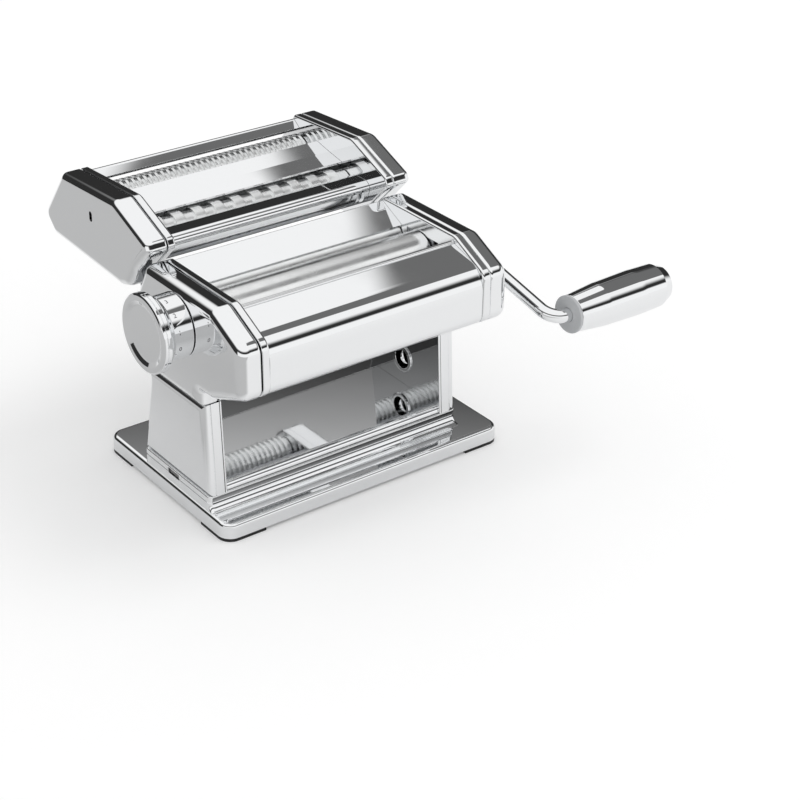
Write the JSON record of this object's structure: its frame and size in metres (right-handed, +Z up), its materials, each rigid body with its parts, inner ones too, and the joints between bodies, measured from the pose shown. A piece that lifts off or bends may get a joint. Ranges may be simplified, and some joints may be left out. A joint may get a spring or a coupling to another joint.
{
  "type": "pasta machine",
  "caption": "Hand cranked pasta machine: smooth rollers with an adjustable gap, a lift-off head with wide and fine ribbon cutters, a removable crank and a clamp hole.",
  "frame": {"origin": "centre of the whole outline seen from above, on the table under the feet", "axes": "+X along the rollers to the crank, +Y back to the cutter head, +Z up"},
  "size_m": [0.2988, 0.2332, 0.1649],
  "materials": {
    "chromed_steel": "mirror polished chrome plate on pressed steel",
    "anodised_aluminium": "fine turned, clear anodised",
    "plain_steel": "bright zinc plated steel",
    "grey_washer": "smooth light grey acetal",
    "black_rubber": "matte moulded rubber"
  },
  "bodies": {
    "frame": {"base_plate": "chromed_steel", "rubber_feet": "black_rubber", "chute": "chromed_steel", "left_leg": "chromed_steel", "right_leg": "chromed_steel", "left_leg_liner": "chromed_steel", "right_leg_liner": "chromed_steel", "clamp_collar": "chromed_steel", "left_side_plate": "chromed_steel", "right_side_plate": "chromed_steel", "left_end_cap": "chromed_steel", "right_end_cap": "chromed_steel", "tie_rods": "plain_steel", "front_cover": "chromed_steel", "hopper_plate": "chromed_steel", "rear_scraper": "plain_steel", "left_rail": "plain_steel", "right_rail": "plain_steel", "roller_bushes": "plain_steel", "crank_bush": "chromed_steel", "regulator_collar": "plain_steel"},
    "gap_carriage": {"left_bearing_block": "plain_steel", "right_bearing_block": "plain_steel", "front_scraper": "plain_steel", "cam_pin": "plain_steel"},
    "driven_roller": {"front_roller": "anodised_aluminium", "front_roller_gear": "plain_steel"},
    "drive_roller": {"rear_roller": "anodised_aluminium", "rear_roller_gear": "plain_steel"},
    "crank": {"crank_rod": "chromed_steel"},
    "grip": {"grip_washer": "grey_washer", "crank_grip": "chromed_steel"},
    "regulator": {"regulator_shaft": "plain_steel", "regulator_cam": "plain_steel", "knob_spring": "plain_steel"},
    "knob": {"regulator_knob": "chromed_steel", "index_pin": "plain_steel"},
    "cutter_head": {"cutter_left_plate": "chromed_steel", "cutter_right_plate": "chromed_steel", "cutter_left_cap": "chromed_steel", "cutter_right_cap": "chromed_steel", "cutter_back_plate": "chromed_steel", "cutter_middle_bar": "chromed_steel", "cutter_front_plate": "chromed_steel", "cutter_tie_rods": "plain_steel", "cutter_left_shoe": "plain_steel", "cutter_right_shoe": "plain_steel", "wide_comb": "plain_steel", "fine_comb": "plain_steel"},
    "wide_drive": {"wide_front_cutter": "anodised_aluminium", "wide_front_gear": "plain_steel"},
    "wide_partner": {"wide_rear_cutter": "anodised_aluminium", "wide_rear_gear": "plain_steel"},
    "fine_drive": {"fine_front_cutter": "anodised_aluminium", "fine_front_gear": "plain_steel"},
    "fine_partner": {"fine_rear_cutter": "anodised_aluminium", "fine_rear_gear": "plain_steel"}
  },
  "joints": [
    {"name": "crank_turn", "type": "hinge", "parent": "frame", "child": "drive_roller", "pos_m": [-0.04065, -0.00191, 0.1175], "axis": [1, 0, 0], "continuous": true},
    {"name": "crank_pull", "type": "slide", "parent": "drive_roller", "child": "crank", "axis": [1, 0, 0], "range_m": [0, 0.03]},
    {"name": "grip_turn", "type": "hinge", "parent": "crank", "child": "grip", "pos_m": [0.11435, -0.10317, 0.09468], "axis": [1, 0, 0], "continuous": true},
    {"name": "gap_slide", "type": "slide", "parent": "frame", "child": "gap_carriage", "axis": [0, -1, 0], "range_m": [0, 0.0042]},
    {"name": "driven_roller_turn", "type": "hinge", "parent": "gap_carriage", "child": "driven_roller", "pos_m": [-0.04065, -0.02951, 0.1175], "axis": [1, 0, 0], "continuous": true},
    {"name": "knob_turn", "type": "hinge", "parent": "frame", "child": "regulator", "pos_m": [-0.14065, -0.02581, 0.1175], "axis": [-1, 0, 0], "range_deg": [0, 300]},
    {"name": "knob_pull", "type": "slide", "parent": "regulator", "child": "knob", "axis": [-1, 0, 0], "range_m": [0, 0.0035], "stiffness_N_per_m": 600, "springref_m": -0.002},
    {"name": "cutter_lift", "type": "slide", "parent": "frame", "child": "cutter_head", "axis": [0, 0, 1], "range_m": [0, 0.06]},
    {"name": "wide_cutter_turn", "type": "hinge", "parent": "cutter_head", "child": "wide_drive", "pos_m": [-0.04065, 0.04319, 0.1355], "axis": [1, 0, 0], "continuous": true},
    {"name": "wide_partner_turn", "type": "hinge", "parent": "cutter_head", "child": "wide_partner", "pos_m": [-0.04065, 0.06138, 0.13163], "axis": [1, 0, 0], "continuous": true},
    {"name": "fine_cutter_turn", "type": "hinge", "parent": "cutter_head", "child": "fine_drive", "pos_m": [-0.04065, 0.08719, 0.142], "axis": [1, 0, 0], "continuous": true},
    {"name": "fine_partner_turn", "type": "hinge", "parent": "cutter_head", "child": "fine_partner", "pos_m": [-0.04065, 0.10296, 0.13214], "axis": [1, 0, 0], "continuous": true}
  ],
  "couplings": [
    {"joint": "driven_roller_turn", "follows": "crank_turn", "ratio": -1},
    {"joint": "knob_turn", "follows": "gap_slide", "rad_per_m": 1246.7},
    {"joint": "wide_partner_turn", "follows": "wide_cutter_turn", "ratio": -1},
    {"joint": "fine_partner_turn", "follows": "fine_cutter_turn", "ratio": -1}
  ]
}
